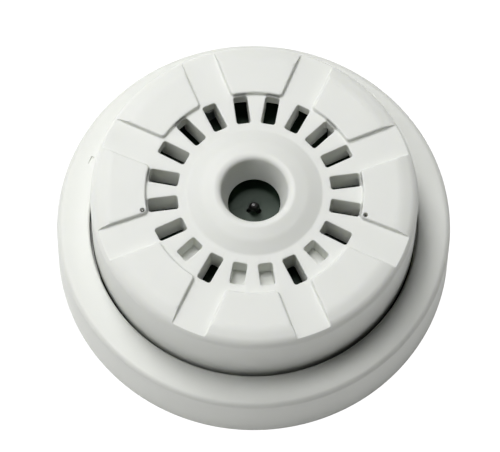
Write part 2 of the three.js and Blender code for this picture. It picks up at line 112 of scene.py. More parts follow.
CHASSIS_R = 37.6
CHASSIS_Z = 16.9
CHASSIS_T = 2
SKIRT_IN_R = 34
SKIRT_R = 35.6
SKIRT_Z = 8.9
BOARD_R = 35.5
BOARD_Z = 20.9
BOARD_TOP_Z = 22.5
SEAT = 0.1  # gap under a part that sits on the board
POST_R = 3.2
SHANK_HOLE_R = 1.6
SINK_R = 2.6
LEAD_HALF_PITCH = 1.3
LEAD_HOLE_R = 0.6
CASE_SCREW_R = 29.5
CASE_SCREW_ANGLES = (45, 165, 285)
LED_R = 27.7
LED_ANGLES = (-12, 192)
PINHOLE_R = 0.55
GUIDE_BORE_R = 1.3
GUIDE_BORE_TOP_Z = FLOOR_Z - 1.2

LUG_ANGLES = (90, 210, 330)
LUG_WIDTH = 14
LUG_R = 39.2
LUG_T = 1.5
LEDGE_R = 36.2
LEDGE_WALL_R = 39.6
LEDGE_OUT_R = 41.4
LEDGE_Z = 10.7
LEDGE_T = 1.2

TERMINAL_R = 27
TERMINAL_ANGLES = (45, 135, 225, 315)
TOWER_TOP_Z = 9.5
BARRIER_T = 1.2
BARRIER_TOP_Z = 13.5
CLAMP_SIZE = 8
CONTACT_Z = TOWER_TOP_Z + GAP
CONTACT_T = 0.8
CLAMP_Z = CONTACT_Z + CONTACT_T + GAP
CLAMP_T = 1
SCREW_HEAD_Z = CLAMP_Z + CLAMP_T + GAP
SCREW_HEAD_R = 3
SCREW_HEAD_H = 2
SCREW_R = 1.5
SCREW_ROOT_R = 1.2
SCREW_PITCH = 0.6
SCREW_HOLE_R = 1.8
SCREW_TIP_Z = 6.1
CASE_SCREW_HEAD_R = 2.2
CASE_SCREW_THREAD_R = 1.2
CASE_SCREW_ROOT_R = 0.95
CASE_SCREW_PITCH = 0.9
LEAF_TURN = 25
LEAF_H = 3.8
LEAF_T = 0.7
BLADE_TURN = 45
BLADE_W = 5
BLADE_T = 0.6
BLADE_FOOT_Z = 14


# ---- Outlines and solids --------------------------------------------------------------------
def around(radius, angle):
    """Point (x, y) at a distance from the axis and a bearing in degrees."""
    turn = math.radians(angle)
    return Vector((radius * math.cos(turn), radius * math.sin(turn)))


def softened(corners, steps=6):
    """Closed outline whose corners (x, y, radius) are rounded; a corner without a radius stays."""
    outline = []
    for i, corner in enumerate(corners):
        point = Vector(corner[:2])
        if len(corner) < 3:
            outline.append(point)
            continue
        back = (Vector(corners[i - 1][:2]) - point).normalized()
        on = (Vector(corners[(i + 1) % len(corners)][:2]) - point).normalized()
        half = back.angle(on) / 2
        centre = point + (back + on).normalized() * corner[2] / math.sin(half)
        spoke = point + back * corner[2] / math.tan(half) - centre
        sweep = math.pi - 2 * half
        if back.cross(on) > 0:
            sweep = -sweep
        for step in range(steps + 1):
            outline.append(centre + Matrix.Rotation(sweep * step / steps, 2) @ spoke)
    return outline


def loop_of(body, points):
    """Adds a closed ring of edges through the points."""
    corners = [body.verts.new(point) for point in points]
    return [body.edges.new((corners[i - 1], corner)) for i, corner in enumerate(corners)]


def tidied(body):
    bmesh.ops.remove_doubles(body, verts=body.verts, dist=1e-4)
    bmesh.ops.recalc_face_normals(body, faces=body.faces)
    if body.calc_volume(signed=True) < 0:
        bmesh.ops.reverse_faces(body, faces=body.faces)
    return body


def turned(corners, steps=ROUND, rounding=6):
    """Shape turned about Z from an outline of (r, z, radius) corners."""
    body = bmesh.new()
    outline = softened(corners, rounding)
    points = [body.verts.new((r, 0, z)) for r, z in outline]
    open_at_axis = outline[0].x < 1e-6 and outline[-1].x < 1e-6
    first = 1 if open_at_axis else 0
    for i in range(first, len(points)):
        body.edges.new((points[i - 1], points[i]))
    bmesh.ops.spin(
        body,
        geom=body.verts[:] + body.edges[:],
        cent=(0, 0, 0),
        axis=(0, 0, 1),
        angle=2 * math.pi,
        steps=steps,
        use_merge=True,
    )
    return tidied(body)


def stacked(layers):
    """Closed solid through rings of points that lie one above the other."""
    body = bmesh.new()
    rings = [loop_of(body, layer) for layer in layers]
    for lower, upper in zip(rings, rings[1:]):
        bmesh.ops.bridge_loops(body, edges=lower + upper)
    bmesh.ops.contextual_create(body, geom=rings[0])
    bmesh.ops.contextual_create(body, geom=rings[-1])
    return tidied(body)


def bevelled(body, size):
    """Rounds every edge that turns by more than an angle."""
    limit = math.radians(ROUNDED_ANGLE)
    edges = [edge for edge in body.edges if edge.calc_face_angle(0) > limit]
    bmesh.ops.bevel(
        body,
        geom=edges,
        offset=size,
        offset_type="OFFSET",
        affect="EDGES",
        segments=2,
        profile=0.5,
        material=-1,
        clamp_overlap=True,
    )
    return body


def raised(outline, low, high, soft=0.0):
    """Flat outline raised from one height to another, with softened edges."""
    body = stacked([[(x, y, low) for x, y in outline], [(x, y, high) for x, y in outline]])
    if soft:
        bevelled(body, soft)
    return body


def block(low, high, soft=0.15):
    outline = [(low[0], low[1]), (high[0], low[1]), (high[0], high[1]), (low[0], high[1])]
    return raised(outline, low[2], high[2], soft)


def rod(radius, low, high, soft=0.0, steps=FINE):
    corners = [(0, low), (radius, low), (radius, high), (0, high)]
    if soft:
        corners = [(0, low), (radius, low, soft), (radius, high, soft), (0, high)]
    return turned(corners, steps, 3)


def sector(inner, outer, start, end, low, high, soft=0.15):
    steps = max(3, round(abs(end - start) / 1.5))
    turns = [start + (end - start) * i / steps for i in range(steps + 1)]
    outline = [around(outer, turn) for turn in turns]
    outline += [around(inner, turn) for turn in reversed(turns)]
    return raised(outline, low, high, soft)


def moved(body, angle, radius=0):
    """Turns a body about Z after sliding it out along X."""
    place = Matrix.Rotation(math.radians(angle), 4, "Z") @ Matrix.Translation((radius, 0, 0))
    bmesh.ops.transform(body, matrix=place, verts=body.verts)
    return body


def repeated(make, angles, radius):
    """The same body made once for each angle, at one distance from the axis, as one mesh."""
    return gathered([moved(make(), angle, radius) for angle in angles])


def gathered(bodies):
    """Puts several bodies into one mesh."""
    whole = bmesh.new()
    for body in bodies:
        mesh = bpy.data.meshes.new("part")
        body.to_mesh(mesh)
        whole.from_mesh(mesh)
        bpy.data.meshes.remove(mesh)
    return whole


def combined(body, tool, how):
    """Cuts, joins or keeps the overlap of two closed bodies."""
    shapes = []
    for shape in (body, tool):
        mesh = bpy.data.meshes.new("shape")
        shape.to_mesh(mesh)
        shapes.append(bpy.data.objects.new("shape", mesh))
        bpy.context.scene.collection.objects.link(shapes[-1])
    step = shapes[0].modifiers.new("step", "BOOLEAN")
    step.operation = how
    step.solver = "MANIFOLD"
    step.object = shapes[1]
    graph = bpy.context.evaluated_depsgraph_get()
    result = bmesh.new()
    result.from_mesh(shapes[0].evaluated_get(graph).to_mesh())
    for shape in shapes:
        mesh = shape.data
        bpy.data.objects.remove(shape)
        bpy.data.meshes.remove(mesh)
    return result


def cut(body, *tools):
    for tool in tools:
        body = combined(body, tool, "DIFFERENCE")
    return body


def joined(body, *tools):
    for tool in tools:
        body = combined(body, tool, "UNION")
    return body


def piece(name, body, node_names, rides_on, material):
    """Makes a finished object from a body in millimetres and sets it on its frame."""
    bmesh.ops.scale(body, vec=(MM, MM, MM), verts=body.verts)
    for face in body.faces:
        face.smooth = True
    for edge in body.edges:
        edge.smooth = edge.calc_face_angle(math.pi) < math.radians(SHARP_ANGLE)
    mesh = bpy.data.meshes.new(name)
    body.to_mesh(mesh)
    made = bpy.data.objects.new(name, mesh)
    bpy.context.scene.collection.objects.link(made)
    mesh.materials.append(material)
    shading = made.modifiers.new("even_shading", "WEIGHTED_NORMAL")
    shading.keep_sharp = True
    shading.weight = 50
    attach(made, rides_on)
    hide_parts(*node_names)


# ---- Front cover ----------------------------------------------------------------------------
def channel_side(offset):
    """One side of a channel, from its inner corner to past the drum, in the channel's own frame."""
    start = Vector((PAD_INNER_R, CHANNEL_IN_W / 2))
    end = Vector((HEAD_R, CHANNEL_OUT_W / 2))
    along = (end - start).normalized()
    across = Vector((-along.y, along.x))
    foot = start + across * PAD_CORNER_R
    reach = PAD_INNER_R + PAD_CORNER_R
    lean = foot.dot(along)
    slide = -lean + math.sqrt(lean * lean - foot.length_squared + reach * reach)
    centre = foot + along * slide
    first = -centre.normalized() * (PAD_CORNER_R - offset)
    sweep = first.angle(-across)
    side = [centre + Matrix.Rotation(sweep * i / 6, 2) @ first for i in range(7)]
    side.append(side[-1] + along * (42 - side[-1].x) / along.x)
    return side


def channel_star(offset):
    """Outline of the eight channels and the ring that joins them, grown by an offset."""
    side = channel_side(offset)
    corner = math.degrees(math.atan2(side[0].y, side[0].x))
    step = 360 / PADS
    outline = []
    for k in range(PADS):
        middle = step * (k + 0.5)
        turn = Matrix.Rotation(math.radians(middle), 2)
        outline += [turn @ Vector((point.x, -point.y)) for point in side]
        outline += [turn @ point for point in reversed(side)]
        for i in range(1, 12):
            bearing = middle + corner + (step - 2 * corner) * i / 12
            outline.append(around(PAD_INNER_R + offset, bearing))
    return outline


def channel_recess():
    profile = softened(
        [
            (-0.6, FLOOR_Z - OVERSHOOT),
            (0, FLOOR_Z - OVERSHOOT, 0.4),
            (0.12, FACE_Z + OVERSHOOT, 0.45),
            (0.9, FACE_Z + OVERSHOOT),
            (0.9, FACE_Z + 1.5),
            (-0.6, FACE_Z + 1.5),
        ],
        5,
    )
    layers = [[(x, y, z) for x, y in channel_star(offset)] for offset, z in profile[:-1]]
    return cut(stacked(layers), rod(25.4, FLOOR_Z - 1, FACE_Z + 3, steps=ROUND))


def slot_outline(outer, offset):
    half = SLOT_W / 2 + offset
    near = SLOT_IN_R - offset
    far = outer + offset
    soft = SLOT_CORNER + offset
    return softened([(near, -half, soft), (far, -half, soft), (far, half, soft), (near, half, soft)], 4)


def slot_angles():
    return [360 / AIR_SLOTS * (k + 0.5) - 180 for k in range(AIR_SLOTS)]


def air_slots():
    """The twenty slots as one cutter; four of them end in a floor."""
    cutters = []
    top = FLOOR_Z + OVERSHOOT
    for angle in slot_angles():
        blind = angle in BLIND_SLOTS
        low = BLIND_Z if blind else RING_UNDER_Z - 1
        outer = BLIND_OUT_R if blind else SLOT_OUT_R
        rounding = softened([(0, low), (0, top, 0.25), (1, top)], 4)
        profile = [(0, low)] + rounding[1:-1] + [(0.5, top), (0.5, FLOOR_Z + 0.9)]
        layers = [[(x, y, z) for x, y in slot_outline(outer, grow)] for grow, z in profile]
        cutters.append(moved(stacked(layers), angle))
    return gathered(cutters)


def slot_reliefs():
    """Opens the bars' outer ends below the face, so a through slot ends in the face's own thickness."""
    outline = slot_outline(RIB_OUT_R + 0.6, -0.02)
    through = [angle for angle in slot_angles() if angle not in BLIND_SLOTS]
    return repeated(lambda: raised(outline, RING_UNDER_Z - 1, PLATE_UNDER_Z), through, 0)


def pinhole_body():
    """Hole for a light guide's tip, with a softened mouth."""
    mouth = PINHOLE_R + 0.5
    return turned(
        [
            (0, PLATE_UNDER_Z),
            (PINHOLE_R, PLATE_UNDER_Z),
            (PINHOLE_R, FACE_Z + OVERSHOOT, 0.12),
            (mouth, FACE_Z + OVERSHOOT),
            (mouth, FACE_Z + 1),
            (0, FACE_Z + 1),
        ],
        FINE,
    )


def front_cover_body():
    ring_wall = SLOT_IN_R - 0.2
    shell = turned(
        [
            (HEAD_WALL_R, HEAD_BOTTOM_Z, 0.2),
            (HEAD_LOW_R, HEAD_BOTTOM_Z, 0.35),
            (HEAD_R + 0.1, FACE_Z - 0.95, CROWN_ROUND),
            (PAD_OUTER_R, FACE_Z, 10),
            (TROUGH_R, FACE_Z),
            (TROUGH_R, FLOOR_Z),
            (BOSS_R, FLOOR_Z, BOSS_FOOT_ROUND),
            (13.2, BOSS_TOP_Z - 0.75, 9),
            (9.6, BOSS_TOP_Z, 2.5),
            (OPENING_TOP_R + 0.3, BOSS_TOP_Z - 0.5, 1.2),
            (OPENING_TOP_R - 0.1, BOSS_TOP_Z - 2, 4),
            (OPENING_LOW_R, OPENING_LOW_Z, 0.3),
            (OPENING_LOW_R + TUBE_T, OPENING_LOW_Z, 0.3),
            (OPENING_TOP_R + TUBE_T, BOSS_UNDER_Z, 0.8),
            (ring_wall - TUBE_T, BOSS_UNDER_Z, 0.8),
            (ring_wall - TUBE_T, RING_UNDER_Z, 0.3),
            (ring_wall, RING_UNDER_Z, 0.3),
            (ring_wall, RIB_UNDER_Z),
            (RIB_OUT_R, RIB_UNDER_Z, 0.3),
            (RIB_OUT_R, PLATE_UNDER_Z, 0.3),
            (HEAD_WALL_R - 0.4, PLATE_UNDER_Z, 0.8),
        ],
        ROUND,
        8,
    )
    low = BOARD_TOP_Z + GAP
    under = PLATE_UNDER_Z
    bosses = repeated(lambda: rod(SCREW_BOSS_R, low, under + 0.2, 0.2), CASE_SCREW_ANGLES, CASE_SCREW_R)
    pilots = repeated(lambda: rod(PILOT_R, low - 1, under - 1), CASE_SCREW_ANGLES, CASE_SCREW_R)
    bores = repeated(lambda: rod(GUIDE_BORE_R, under - 1, GUIDE_BORE_TOP_Z), LED_ANGLES, LED_R)
    pinholes = repeated(pinhole_body, LED_ANGLES, LED_R)
    shell = joined(shell, bosses)
    return cut(shell, channel_recess(), air_slots(), slot_reliefs(), pilots, bores, pinholes)


# ---- Base shell -----------------------------------------------------------------------------
def terminal_tower(angle):
    """Seat of one terminal and its contact arm, with a barrier wall at one side and behind."""
    low = PLATE_T - 0.1
    half = CLAMP_SIZE / 2 + 0.4
    inner = TERMINAL_R - half
    outer = TERMINAL_R + half
    seat = block((inner, -half, low), (outer, half, TOWER_TOP_Z))
    side = block((inner, -half - BARRIER_T, low), (outer, -half + 0.01, BARRIER_TOP_Z))
    back = block((outer - 0.01, -half - BARRIER_T, low), (outer + BARRIER_T, half, BARRIER_TOP_Z))
    arm = sector(TERMINAL_R - 3.2, TERMINAL_R + 3.2, 5, LEAF_TURN + 6, low, TOWER_TOP_Z)
    return moved(joined(seat, side, back, arm), angle)


def bayonet_ledge(angle):
    """Ledge over one lug of the twisted head, with the wall that carries it and an end stop."""
    start = angle - LUG_WIDTH / 2 - 2
    end = start - 19
    low = PLATE_T - 0.1
    top = LEDGE_Z + LEDGE_T
    ledge = sector(LEDGE_R, LEDGE_WALL_R + 0.2, end - 2.5, start, LEDGE_Z, top)
    wall = sector(LEDGE_WALL_R, LEDGE_OUT_R, end - 2.5, start, low, top)
    stop = sector(LEDGE_R, LEDGE_WALL_R + 0.2, end - 2.5, end, low, LEDGE_Z + 0.1)
    return joined(wall, ledge, stop)


def base_shell_body():
    shell = turned(
        [
            (CABLE_HOLE_R, 0, 0.3),
            (BASE_R, 0, 0.5),
            (BASE_TOP_R, BASE_H, RIM_ROUND),
            ((BASE_TOP_R + BORE_R) / 2, BASE_H - RIM_DISH, 30),
            (BORE_R, BASE_H, 0.6),
            (BORE_R, RIM_UNDER_Z, 0.3),
            (BASE_WALL_R, RIM_UNDER_Z, 0.8),
            (BASE_WALL_R, PLATE_T, 0.6),
            (CABLE_HOLE_R + COLLAR_T, PLATE_T, 0.3),
            (CABLE_HOLE_R + COLLAR_T, COLLAR_TOP_Z, 0.3),
            (CABLE_HOLE_R, COLLAR_TOP_Z, 0.3),
        ]
    )
    half = FIX_SLOT_W / 2
    near = FIX_SLOT_R - FIX_SLOT_L / 2
    far = FIX_SLOT_R + FIX_SLOT_L / 2
    ends = [(near, -half, half), (far, -half, half), (far, half, half), (near, half, half)]
    oblong = softened(ends, 10)
    fixings = repeated(lambda: raised(oblong, -1, PLATE_T + 1), (0, 180), 0)
    hole_low = SCREW_TIP_Z - 0.4
    screw_holes = repeated(lambda: rod(SCREW_HOLE_R, hole_low, 11), TERMINAL_ANGLES, TERMINAL_R)
    rim_z = BASE_H - RIM_DISH
    mark_low = (-MARK_W / 2, -MARK_L / 2, rim_z - MARK_DEPTH)
    mark = moved(block(mark_low, (MARK_W / 2, MARK_L / 2, rim_z + 1), 0.12), MARK_ANGLE, MARK_R)
    shell = joined(shell, *[terminal_tower(angle) for angle in TERMINAL_ANGLES])
    shell = joined(shell, *[bayonet_ledge(angle) for angle in LUG_ANGLES])
    return cut(shell, fixings, screw_holes, mark)


def seal_body():
    """Flat ring with a shallow groove in its upper face."""
    low = LEDGE_Z + LEDGE_T + GAP
    high = HEAD_BOTTOM_Z - GAP
    inner = SKIRT_R + GAP
    outer = BORE_R - 0.5
    middle = (inner + outer) / 2
    return turned(
        [
            (inner, low, 0.25),
            (outer, low, 0.25),
            (outer, high, 0.3),
            (middle + 0.9, high, 0.2),
            (middle + 0.6, high - 0.3, 0.2),
            (middle - 0.6, high - 0.3, 0.2),
            (middle - 0.9, high, 0.2),
            (inner, high, 0.25),
        ]
    )


# ---- Materials ------------------------------------------------------------------------------
def shade_group(name, inputs, outputs):
    group = bpy.data.node_groups.new(name, "ShaderNodeTree")
    for label, kind, start in inputs:
        socket = group.interface.new_socket(label, in_out="INPUT", socket_type=kind)
        socket.default_value = start
    for label, kind in outputs:
        group.interface.new_socket(label, in_out="OUTPUT", socket_type=kind)
    return group, group.nodes.new("NodeGroupInput"), group.nodes.new("NodeGroupOutput")


def moulded_surface():
    """Spark-eroded mould grain, slow shade changes and fine scuffs for plastics."""
    group, given, result = shade_group(
        "moulded_surface",
        [
            ("Grain Size", "NodeSocketFloat", 2600.0),
            ("Mottle Size", "NodeSocketFloat", 60.0),
        ],
        [("Grain", "NodeSocketFloat"), ("Mottle", "NodeSocketFloat"), ("Scuff", "NodeSocketFloat")],
    )
    nodes, links = group.nodes, group.links
    place = nodes.new("ShaderNodeTexCoord")
    grain = nodes.new("ShaderNodeTexNoise")
    grain.inputs["Detail"].default_value = 3
    grain.inputs["Roughness"].default_value = 0.65
    mottle = nodes.new("ShaderNodeTexNoise")
    mottle.inputs["Detail"].default_value = 4
    scuff = nodes.new("ShaderNodeTexNoise")
    scuff.inputs["Scale"].default_value = 420
    scuff.inputs["Detail"].default_value = 6
    scuff.inputs["Distortion"].default_value = 1.5
    narrow = nodes.new("ShaderNodeMapRange")
    narrow.inputs["From Min"].default_value = 0.58
    narrow.inputs["From Max"].default_value = 0.72
    links.new(place.outputs["Object"], grain.inputs["Vector"])
    links.new(place.outputs["Object"], mottle.inputs["Vector"])
    links.new(place.outputs["Object"], scuff.inputs["Vector"])
    links.new(given.outputs["Grain Size"], grain.inputs["Scale"])
    links.new(given.outputs["Mottle Size"], mottle.inputs["Scale"])
    links.new(scuff.outputs["Fac"], narrow.inputs["Value"])
    links.new(grain.outputs["Fac"], result.inputs["Grain"])
    links.new(mottle.outputs["Fac"], result.inputs["Mottle"])
    links.new(narrow.outputs["Result"], result.inputs["Scuff"])
    return group


def rubbed_metal():
    """Fine rolling lines and patchy tarnish for plated and bare metal."""
    group, given, result = shade_group(
        "rubbed_metal",
        [("Line Size", "NodeSocketFloat", 900.0), ("Tarnish Size", "NodeSocketFloat", 220.0)],
        [("Lines", "NodeSocketFloat"), ("Tarnish", "NodeSocketFloat")],
    )
    nodes, links = group.nodes, group.links
    place = nodes.new("ShaderNodeTexCoord")
    stretch = nodes.new("ShaderNodeMapping")
    stretch.inputs["Scale"].default_value = (1, 6, 1)
    lines = nodes.new("ShaderNodeTexNoise")
    lines.inputs["Detail"].default_value = 4
    tarnish = nodes.new("ShaderNodeTexNoise")
    tarnish.inputs["Detail"].default_value = 5
    links.new(place.outputs["Object"], stretch.inputs["Vector"])
    links.new(stretch.outputs["Vector"], lines.inputs["Vector"])
    links.new(place.outputs["Object"], tarnish.inputs["Vector"])
    links.new(given.outputs["Line Size"], lines.inputs["Scale"])
    links.new(given.outputs["Tarnish Size"], tarnish.inputs["Scale"])
    links.new(lines.outputs["Fac"], result.inputs["Lines"])
    links.new(tarnish.outputs["Fac"], result.inputs["Tarnish"])
    return group


MOULDED = moulded_surface()
RUBBED = rubbed_metal()


def started(name):
    material = bpy.data.materials.new(name)
    material.use_nodes = True
    nodes = material.node_tree.nodes
    return material, nodes, material.node_tree.links, nodes["Principled BSDF"]


def span(nodes, links, source, low, high):
    """A value that runs from low to high with a mask."""
    ranged = nodes.new("ShaderNodeMapRange")
    ranged.inputs["To Min"].default_value = low
    ranged.inputs["To Max"].default_value = high
    links.new(source, ranged.inputs["Value"])
    return ranged.outputs["Result"]


def blended(nodes, links, mask, first, second):
    mix = nodes.new("ShaderNodeMix")
    mix.data_type = "RGBA"
    mix.inputs["A"].default_value = (*first, 1)
    mix.inputs["B"].default_value = (*second, 1)
    links.new(mask, mix.inputs["Factor"])
    return mix.outputs["Result"]


def plastic(name, light, dark, rough, grain_size=2600, grain_depth=0.012, spec=0.4, glow=0.0):
    material, nodes, links, surface = started(name)
    finish = nodes.new("ShaderNodeGroup")
    finish.node_tree = MOULDED
    finish.inputs["Grain Size"].default_value = grain_size
    colour = blended(nodes, links, finish.outputs["Mottle"], light, dark)
    links.new(colour, surface.inputs["Base Color"])
    roughness = span(nodes, links, finish.outputs["Scuff"], rough, rough + 0.12)
    links.new(roughness, surface.inputs["Roughness"])
    bump = nodes.new("ShaderNodeBump")
    bump.inputs["Strength"].default_value = 0.35
    bump.inputs["Distance"].default_value = grain_depth * MM
    links.new(finish.outputs["Grain"], bump.inputs["Height"])
    links.new(bump.outputs["Normal"], surface.inputs["Normal"])
    surface.inputs["Specular IOR Level"].default_value = spec
    surface.inputs["Subsurface Weight"].default_value = glow
    surface.inputs["Subsurface Radius"].default_value = (1, 1, 0.85)
    surface.inputs["Subsurface Scale"].default_value = 2 * MM
    return material


def metal(name, bright, dull, rough):
    material, nodes, links, surface = started(name)
    finish = nodes.new("ShaderNodeGroup")
    finish.node_tree = RUBBED
    links.new(blended(nodes, links, finish.outputs["Tarnish"], bright, dull), surface.inputs["Base Color"])
    links.new(span(nodes, links, finish.outputs["Tarnish"], rough, rough + 0.2), surface.inputs["Roughness"])
    bump = nodes.new("ShaderNodeBump")
    bump.inputs["Strength"].default_value = 0.25
    bump.inputs["Distance"].default_value = 0.01 * MM
    links.new(finish.outputs["Lines"], bump.inputs["Height"])
    links.new(bump.outputs["Normal"], surface.inputs["Normal"])
    surface.inputs["Metallic"].default_value = 1
    return material


cover_plastic = plastic("cover_plastic", (0.85, 0.863, 0.825), (0.81, 0.823, 0.785), 0.46, glow=0.35)
base_plastic = plastic("base_plastic", (0.80, 0.812, 0.775), (0.76, 0.772, 0.735), 0.48, glow=0.2)
chassis_plastic = plastic("chassis_plastic", (0.70, 0.71, 0.66), (0.65, 0.66, 0.61), 0.55, 1900, 0.02)
seal_rubber = plastic("seal_rubber", (0.015, 0.015, 0.014), (0.03, 0.03, 0.028), 0.75, 1400, 0.03, 0.3)
board_laminate = plastic("board_laminate", (0.012, 0.03, 0.016), (0.02, 0.045, 0.024), 0.5, 1200, 0.01)
component_black = plastic("component_black", (0.012, 0.012, 0.013), (0.02, 0.02, 0.021), 0.5, 3000, 0.02)
epoxy_bead = plastic("epoxy_bead", (0.008, 0.008, 0.008), (0.016, 0.015, 0.014), 0.28, 1500, 0.01, 0.5)
component_can = metal("component_can", (0.62, 0.63, 0.64), (0.5, 0.5, 0.51), 0.3)
spring_bronze = metal("spring_bronze", (0.62, 0.40, 0.22), (0.45, 0.27, 0.14), 0.32)
plated_brass = metal("plated_brass", (0.70, 0.52, 0.24), (0.55, 0.38, 0.16), 0.3)
zinc_steel = metal("zinc_steel", (0.60, 0.61, 0.62), (0.45, 0.46, 0.46), 0.3)
led_lens = plastic("led_lens", (0.45, 0.02, 0.015), (0.35, 0.015, 0.01), 0.15, 900, 0.005, 0.5)
clear_plastic = plastic("clear_plastic", (0.55, 0.58, 0.56), (0.5, 0.53, 0.51), 0.12, 900, 0.005, 0.5)
clear_plastic.node_tree.nodes["Principled BSDF"].inputs["Transmission Weight"].default_value = 0.85

# ---- Terminal hardware ----------------------------------------------------------------------
def thread(first, last, pitch, start, ridge):
    """Outline corners of the ridges between two heights: start, ridge, start within each pitch."""
    corners = []
    height = first
    while height < last:
        corners += [(start, height), (ridge[0], height + ridge[1]), (start, height + 2 * ridge[1])]
        height += pitch
    return corners


def terminal_screw_body(angle):
    """Pan-head screw with a straight slot and a cross."""
    top = SCREW_HEAD_Z + SCREW_HEAD_H
    ridges = thread(SCREW_TIP_Z + 0.7, SCREW_HEAD_Z - 0.9, SCREW_PITCH, SCREW_R, (SCREW_ROOT_R, 0.25))
    corners = [
        (0, SCREW_TIP_Z),
        (SCREW_R - 0.4, SCREW_TIP_Z),
        (SCREW_R, SCREW_TIP_Z + 0.5),
        *ridges,
        (SCREW_R, SCREW_HEAD_Z),
        (SCREW_HEAD_R, SCREW_HEAD_Z, 0.15),
        (SCREW_HEAD_R, top, 0.8),
        (0, top),
    ]
    slot = block((-SCREW_HEAD_R - 1, -0.4, top - 1), (SCREW_HEAD_R + 1, 0.4, top + 1), 0)
    cross = block((-0.5, -1.7, top - 1.2), (0.5, 1.7, top + 1), 0)
    return moved(cut(turned(corners, FINE, 5), slot, cross), angle, TERMINAL_R)


def wire_clamp_body(angle):
    """Square washer with rounded corners and gripping grooves underneath."""
    half = CLAMP_SIZE / 2
    square = [(-half, -half, 0.8), (half, -half, 0.8), (half, half, 0.8), (-half, half, 0.8)]
    top = CLAMP_Z + CLAMP_T
    washer = raised(softened(square, 5), CLAMP_Z, top, 0.18)
    grooves = []
    for x in (-3, -2.3, 2.3, 3):
        grooves.append(block((x - 0.25, -3.2, CLAMP_Z - 1), (x + 0.25, 3.2, CLAMP_Z + 0.25), 0))
    hole = rod(SCREW_HOLE_R, CLAMP_Z - 1, top + 1)
    return moved(cut(washer, hole, *grooves), angle, TERMINAL_R)


def standing_strip(outline, angle):
    """Bent strip from its side outline (along the rim, up), as wide as a blade, set across a radius."""
    strip = raised(softened(outline, 5), -BLADE_W / 2, BLADE_W / 2, 0.06)
    upright = Matrix(((0, 0, 1, 0), (1, 0, 0, 0), (0, 1, 0, 0), (0, 0, 0, 1)))
    bmesh.ops.transform(strip, matrix=upright, verts=strip.verts)
    return moved(tidied(strip), angle, TERMINAL_R)


def contact_plate_body(angle):
    """Terminal plate: a pad under the screw, an arm, and a leaf folded up and back at its end."""
    top = CONTACT_Z + CONTACT_T
    half = CLAMP_SIZE / 2
    leaf_top = CONTACT_Z + LEAF_H
    leaf_under = leaf_top - LEAF_T
    pad = block((TERMINAL_R - half, -half, CONTACT_Z), (TERMINAL_R + half, half, top), 0.12)
    arm = sector(TERMINAL_R - 2.8, TERMINAL_R + 2.8, 0, LEAF_TURN + 5, CONTACT_Z, top, 0.1)
    leaf = [
        (2.2, CONTACT_Z),
        (3.6, CONTACT_Z + 0.2, 0.4),
        (3.6, leaf_top, 1.2),
        (-1.6, leaf_top, 1),
        (-3.8, leaf_top - 1.2),
        (-3.8, leaf_under - 1.2),
        (-1.4, leaf_under, 1),
        (2.9, leaf_under, 0.6),
        (2.9, top - 0.1),
        (2.2, top - 0.1),
    ]
    hole = moved(rod(SCREW_HOLE_R, CONTACT_Z - 1, top + 1), 0, TERMINAL_R)
    return moved(cut(joined(pad, arm, standing_strip(leaf, LEAF_TURN)), hole), angle)


# ---- Head internals -------------------------------------------------------------------------
def blade_slots(half_width, extra, low, high):
    """Cutters for the four slots that the blades pass through."""
    reach = BLADE_W / 2 + extra
    angles = [angle + BLADE_TURN for angle in TERMINAL_ANGLES]
    first = (-reach, -half_width, low)
    return repeated(lambda: block(first, (reach, half_width, high), 0), angles, TERMINAL_R)


def head_chassis_body():
    """Rear half of the head: a dish with a skirt, three bayonet lugs and three screw posts."""
    top = CHASSIS_Z + CHASSIS_T
    low = CHASSIS_Z - 1
    dish = turned(
        [
            (0, CHASSIS_Z),
            (SKIRT_IN_R, CHASSIS_Z, 0.6),
            (SKIRT_IN_R, SKIRT_Z, 0.3),
            (SKIRT_R, SKIRT_Z, 0.3),
            (SKIRT_R, CHASSIS_Z, 0.2),
            (CHASSIS_R, CHASSIS_Z, 0.3),
            (CHASSIS_R, top, 0.4),
            (0, top),
        ]
    )
    half = LUG_WIDTH / 2
    lugs = []
    for angle in LUG_ANGLES:
        start = angle - half
        lugs.append(sector(SKIRT_R - 0.4, LUG_R, start, angle + half, SKIRT_Z, SKIRT_Z + LUG_T, 0.3))
    posts = repeated(lambda: rod(POST_R, top - 0.2, BOARD_Z - GAP, 0.15), CASE_SCREW_ANGLES, CASE_SCREW_R)
    holes = repeated(lambda: rod(SHANK_HOLE_R, low, BOARD_Z), CASE_SCREW_ANGLES, CASE_SCREW_R)
    sinks = repeated(lambda: rod(SINK_R, low, CHASSIS_Z + 1.8), CASE_SCREW_ANGLES, CASE_SCREW_R)
    return cut(joined(dish, gathered(lugs), posts), holes, sinks, blade_slots(0.7, 0.4, low, top + 1))


def circuit_board_body():
    board = rod(BOARD_R, BOARD_Z, BOARD_TOP_Z, 0.12, ROUND)
    low = BOARD_Z - 1
    high = BOARD_TOP_Z + 1
    holes = repeated(lambda: rod(SHANK_HOLE_R, low, high), CASE_SCREW_ANGLES, CASE_SCREW_R)
    leads = gathered([moved(rod(LEAD_HOLE_R, low, high), 0, side * LEAD_HALF_PITCH) for side in (-1, 1)])
    return cut(board, holes, leads, blade_slots(0.6, 0.3, low, high))


def contact_blade_body(angle):
    """Strip with a foot that wipes onto the leaf in the base, and a leg up through the board."""
    half = BLADE_T / 2
    top = BOARD_TOP_Z + 0.4
    over = BLADE_FOOT_Z + BLADE_T
    outline = [
        (-half, top),
        (-half, over, 0.3),
        (-3, over, 1),
        (-3.8, over + 0.7),
        (-3.9, BLADE_FOOT_Z + 0.3, 0.1),
        (-3, BLADE_FOOT_Z, 1.2),
        (half, BLADE_FOOT_Z, 0.5),
        (half, top),
    ]
    return standing_strip(outline, angle + BLADE_TURN)


